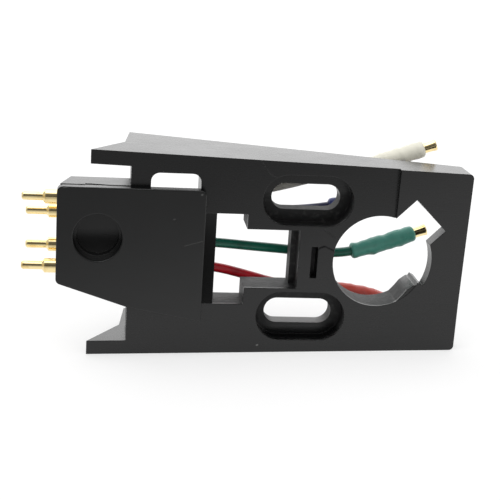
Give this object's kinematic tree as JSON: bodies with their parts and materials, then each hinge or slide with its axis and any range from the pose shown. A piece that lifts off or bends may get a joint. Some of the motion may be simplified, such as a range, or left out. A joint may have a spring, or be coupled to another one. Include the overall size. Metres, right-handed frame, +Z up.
{
  "type": "turntable headshell",
  "caption": "Plug-in turntable headshell: slotted plate between flared side walls, contact pins at the rear, coloured leads with clips behind.",
  "frame": {"origin": "middle of the resting face, under the cartridge slots", "axes": "+X along the resting edge towards the nose, +Y from the front face towards the channel, +Z up"},
  "size_m": [0.047, 0.0115, 0.022],
  "materials": {
    "shell_plastic": "gloss",
    "cover_plastic": "satin",
    "block_plastic": "gloss",
    "gold_plate": "polished",
    "solder": "satin",
    "lead_white": "satin",
    "lead_blue": "satin",
    "lead_green": "satin",
    "lead_red": "satin",
    "sleeve_white": "satin",
    "sleeve_blue": "satin",
    "sleeve_green": "satin",
    "sleeve_red": "satin"
  },
  "bodies": {
    "root": {"headshell": "shell_plastic", "front_cover": "cover_plastic", "contact_block": "block_plastic", "pin_white": "gold_plate", "pin_blue": "gold_plate", "pin_green": "gold_plate", "pin_red": "gold_plate", "solder_white": "solder", "solder_blue": "solder", "solder_green": "solder", "solder_red": "solder", "lead_white": "lead_white", "lead_blue": "lead_blue", "lead_green": "lead_green", "lead_red": "lead_red", "sleeve_white": "sleeve_white", "sleeve_blue": "sleeve_blue", "sleeve_green": "sleeve_green", "sleeve_red": "sleeve_red", "clip_white": "gold_plate", "clip_blue": "gold_plate", "clip_green": "gold_plate", "clip_red": "gold_plate"}
  },
  "joints": []
}
